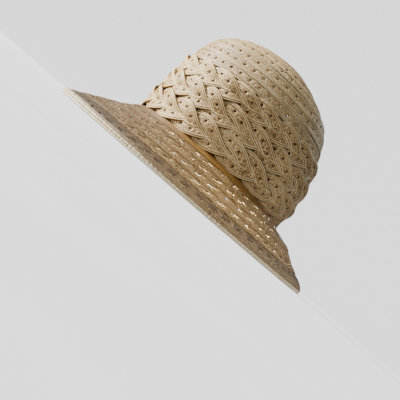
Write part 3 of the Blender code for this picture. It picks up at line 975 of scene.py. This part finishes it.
def crown_material(name, field_tones, cord_tones, front):
    """Make the crown's braid: a mottled weave between bright double cords, with painted shade in their
    grooves.
    """
    straw = Straw(name, CROWN_STRAW)
    along, across = straw.along, straw.across
    reach = across.apply("ABSOLUTE")
    inner, outer = (centre * BRAID_REACH for centre in CORD_CENTRES)
    half = CORD_HALF_WIDTH * BRAID_REACH
    weave = waves(along + across, CROWN_WEAVE) * waves(along - across, CROWN_WEAVE)
    # lighter cords, with painted shade in the grooves between them
    ridges = ((reach - inner) * (2 * math.pi / (outer - inner))).apply("COSINE")
    twist = waves(along + across * TWIST_SLANT, CROWN_TWIST)
    field = straw.tones(FIELD_WEIGHTS, {"weave": weave}, field_tones, FIELD_RANGE)
    cords = straw.tones(CORD_WEIGHTS, {"ridges": ridges, "twist": twist}, cord_tones, CORD_RANGE)
    in_cords = step_up(reach, CORD_BLUR, inner - half)
    colour = straw.mix(in_cords, field, cords)
    # painted shade along the braid's edges, where they lie over the straw beside them
    colour = straw.mix(step_up(reach, BRAID_EDGE_SHADE_BLUR, outer + half), colour, BRAID_EDGE_SHADE)
    # painted shade on the backing, seen in the gaps between the strands
    colour = straw.mix(step_up(reach, PAST_BRAID_SHADE), colour, BACKING_SHADE)
    # painted shade in and round the pinholes
    colour = straw.mix(pinhole_shade_mask(along, across), colour, PINHOLE_SHADE)
    rough = weave * WEAVE_RELIEF + straw.speckle * MOTTLE_RELIEF
    height = rough * (1.0 - in_cords) + straw.fibres * FIBRE_RELIEF
    # painted light and shade along the hat: the tip darker in front, the plaits lighter
    return straw.complete(straw.painted_shading(colour, CROWN_SHADING_SPAN, front), height)


def cluster_shade_mask(along, across):
    """Give 1 in the clusters of small holes of the outermost course, fading to 0 round them, for painted
    shade.
    """
    pitch = SLOT_PITCH / TEXTURE_UNIT
    share_along, place_across = CLUSTER_PLACE
    blur_along = [share * pitch for share in CLUSTER_BLUR_ALONG]
    near_along = near(within_pitch(along, pitch), share_along * pitch, blur_along)
    return near_along * near(across, place_across, CLUSTER_BLUR_ACROSS)


def painted_rim_light(straw, colour):
    """Paint light on a colour in patches towards the rim, in front only."""
    at_front = RIM_LIGHT_MOST - step_up(straw.along_hat, RIM_LIGHT_ALONG)
    at_front = straw.math("MAXIMUM", at_front, 0.0)
    at_rim = step_up(straw.across, RIM_LIGHT_ACROSS)
    patches = step_up(straw.speckle, RIM_LIGHT_PATCHES)
    return straw.mix(at_rim * at_front * patches, colour, PAINTED_RIM_LIGHT)


def brim_material(name, tones, seam_colour, outermost=False):
    """Make the brim's braid: ribs crossed by finer threads, speckled, with brown lines at its seams.

    The outermost course also has painted shade round its clusters of small holes and painted light in
    front.
    """
    straw = Straw(name, BRIM_STRAW)
    ribs = waves(straw.across, BRIM_RIBS)
    threads = waves(straw.along, BRIM_THREADS)
    colour = straw.tones(BRIM_WEIGHTS, {"ribs": ribs, "threads": threads}, tones, PLAIN_RANGE)
    seams = [near(straw.across, place, SEAM_BLUR) * strength for place, strength in SEAM_LINES]
    colour = straw.mix(straw.math("MAXIMUM", *seams), colour, seam_colour)
    if outermost:
        # painted shade round the clusters of small holes
        shade_dots = step_up(straw.noise(straw.place, CLUSTER_SHADE_DOTS), CLUSTER_SHADE_DOT_BLUR)
        colour = straw.mix(cluster_shade_mask(straw.along, straw.across) * shade_dots, colour, CLUSTER_SHADE)
    # painted shade on the brim's front and painted light on its back
    colour = straw.painted_shading(colour, *BRIM_SHADING)
    if outermost:
        # painted light near the rim in front, in patches
        colour = painted_rim_light(straw, colour)
    height = ribs * RIB_RELIEF + threads * THREAD_RELIEF + straw.speckle * SPECKLE_RELIEF
    return straw.complete(colour, height)


def strip_material():
    """Make the golden strip of close parallel straws between the crown and the brim."""
    straw = Straw("strip_straw", STRIP_STRAW)
    ribs = waves(straw.across, STRIP_RIBS)
    colour = straw.tones(STRIP_WEIGHTS, {"ribs": ribs}, STRIP_TONES_AND_SHADE, PLAIN_RANGE)
    # painted shade on the strip's front
    return straw.complete(straw.painted_shading(colour, *STRIP_SHADING), ribs + straw.fibres)


def rim_material():
    """Make the cream cords of the rim, with their twisted strands."""
    straw = Straw("rim_straw", RIM_STRAW)
    twist = waves(straw.along + straw.across, RIM_TWIST)
    colour = straw.tones(RIM_WEIGHTS, {"twist": twist}, RIM_TONES, RIM_RANGE)
    return straw.complete(colour, twist + straw.speckle)


def paper_material(name, glow, tone):
    """Make the studio's pale paper, which can be lit from behind so that it stays even."""
    nodes = Nodes(name, PAPER_FINISH)
    grain = nodes.noise(nodes.add("ShaderNodeTexCoord", "Object"), PAPER_GRAIN)
    greys = [(grey * tone, grey * tone, PAPER_BLUE * (grey * tone)) for grey in GRAIN_TONES]
    colour = nodes.ramp(grain, tuple(zip(GRAIN_RANGE, greys)))
    nodes.set("Base Color", colour)
    nodes.set("Emission Color", colour)
    nodes.set("Emission Strength", glow)
    return nodes.material


def sweep_profile():
    """Give how far out and how high each ring of the studio's sweep lies."""
    profile = [(SWEEP_START, 0.0), (SWEEP_FLOOR, 0.0)]
    for step in range(1, BEND_STEPS + 1):
        angle = 0.5 * math.pi * step / BEND_STEPS
        profile.append((SWEEP_FLOOR + SWEEP_BEND * math.sin(angle), SWEEP_BEND * (1 - math.cos(angle))))
    profile.append((SWEEP_FLOOR + SWEEP_BEND, SWEEP_HEIGHT))
    return profile


def make_sweep(paper):
    """Make the round floor that sweeps up into a wall; its glow doesn't light the hat."""
    points = [(0.0, 0.0, 0.0)]
    faces = []
    for row, (reach, z) in enumerate(sweep_profile()):
        first = 1 + row * SWEEP_SIDES
        for side in range(SWEEP_SIDES):
            angle = 2 * math.pi * side / SWEEP_SIDES
            points.append((reach * math.cos(angle), reach * math.sin(angle), z))
            here, beside = first + side, first + (side + 1) % SWEEP_SIDES
            inwards = (0,) if row == 0 else (beside - SWEEP_SIDES, here - SWEEP_SIDES)
            faces.append((here, beside) + inwards)
    sweep = add_mesh("studio_sweep", points, faces, paper)
    sweep.visible_diffuse = False
    sweep.visible_glossy = False


def make_studio():
    """Make the sweep, the ring of paper next to the rim and the shaded paper under the hat."""
    paper = paper_material("studio_paper", PAPER_GLOW, PAPER_TONE)
    make_sweep(paper)
    edge, outward = rim_edge(ring_turns(RING_STEPS)[:, 0])
    ground = edge * FLAT
    rings = [ground + reach * outward + RING_HEIGHT * UP for reach in RING_REACH]
    inner = np.arange(RING_STEPS)
    beside = np.roll(inner, -1)
    faces = np.stack([inner, beside, beside + RING_STEPS, inner + RING_STEPS], axis=-1)
    add_mesh("studio_near", np.concatenate(rings).tolist(), faces.tolist(), paper)
    shaded = paper_material("shaded_paper", 0.0, UNDER_SHADE_TONE)
    points = ground + UNDER_REACH * outward + UNDER_HEIGHT * UP
    add_mesh("studio_under", points.tolist(), [tuple(range(RING_STEPS))], shaded)


def add_lamp(name, kind, place, power, colour=(1.0, 1.0, 1.0)):
    """Add a lamp that the camera doesn't see."""
    data = bpy.data.lights.new(name, kind)
    data.energy = power
    data.color = colour
    lamp = add_object(name, data)
    lamp.location = place
    lamp.visible_camera = False
    return lamp


def area_light(name, place, target, power, colour, size):
    """Add a soft rectangular light that shines from a place at a target."""
    lamp = add_lamp(name, "AREA", place, power, colour)
    lamp.rotation_euler = (target - place).to_track_quat("-Z", "Y").to_euler()
    lamp.data.shape = "RECTANGLE"
    lamp.data.size, lamp.data.size_y = size
    return lamp


def light_air():
    """Fill the air with weak, even light."""
    world = bpy.data.worlds.new("studio_air")
    world.use_nodes = True
    background = world.node_tree.nodes["Background"]
    background.inputs["Color"].default_value = (*AIR_COLOUR, 1.0)
    background.inputs["Strength"].default_value = AIR_STRENGTH
    bpy.context.scene.world = world


def turned_out(turn, out, up):
    """Give the point so far out and up, in degrees from the back towards the hidden side."""
    angle = math.radians(turn)
    return Vector((out * math.cos(angle), out * math.sin(angle), up))


def light_outside():
    """Light the hat softly, mostly from its front."""
    for name, turn, rise, power in STUDIO_LIGHTS:
        risen = math.radians(rise)
        direction = turned_out(turn, -math.cos(risen), math.sin(risen))
        place = LIGHT_TARGET + LIGHT_DISTANCE * direction
        area_light(name, place, LIGHT_TARGET, power, LIGHT_COLOUR, LIGHT_SIZE)


def light_inside():
    """Light the hat weakly from inside."""
    for number, (turn, power) in enumerate(INSIDE_LIGHTS):
        place, target = turned_out(turn, *INSIDE_PLACE), turned_out(turn, *INSIDE_TARGET)
        lamp = area_light(f"inside_{number}", place, target, power, INSIDE_COLOUR, INSIDE_SIZE)
        lamp.data.spread = INSIDE_SPREAD
    lamp = add_lamp("inside_crown", "POINT", CROWN_LIGHT_PLACE, CROWN_LIGHT_POWER)
    lamp.data.shadow_soft_size = CROWN_LIGHT_RADIUS


def make_camera():
    """Look level across the hat, rolled as the photograph is."""
    data = bpy.data.cameras.new("camera")
    data.sensor_width = SENSOR_WIDTH
    data.lens = CAMERA_FOCAL_SHARE * data.sensor_width
    data.clip_start = CAMERA_NEAREST
    camera = add_object("camera", data)
    right = Vector((math.cos(CAMERA_ROLL), 0.0, math.sin(CAMERA_ROLL)))
    up = Vector((-math.sin(CAMERA_ROLL), 0.0, math.cos(CAMERA_ROLL)))
    turned = Matrix((right, up, right.cross(up))).transposed()
    camera.matrix_world = Matrix.Translation(CAMERA_PLACE) @ turned.to_4x4()
    bpy.context.scene.camera = camera


def main():
    """Build every piece of the hat, and the studio round it."""
    make_tip(crown_material("tip_straw", TIP_FIELD, TIP_CORDS, TIP_FRONT_SHADE))
    plait_straw = crown_material("plait_straw", PLAIT_FIELD, PLAIT_CORDS, PLAIT_FRONT_LIGHT)
    for band in range(len(PLAITS)):
        make_plait(band, plait_straw)
    make_strip(strip_material())
    brim_straw = brim_material("brim_straw", BRIM_TONES, BRIM_SEAM)
    edge_straw = brim_material("edge_straw", EDGE_TONES, EDGE_SEAM, outermost=True)
    make_brim(brim_straw, edge_straw)
    make_facing(brim_material("facing_straw", FACING_SHADE_TONES, FACING_SEAM))
    make_rim(rim_material())
    make_studio()
    light_air()
    light_outside()
    light_inside()
    make_camera()


main()
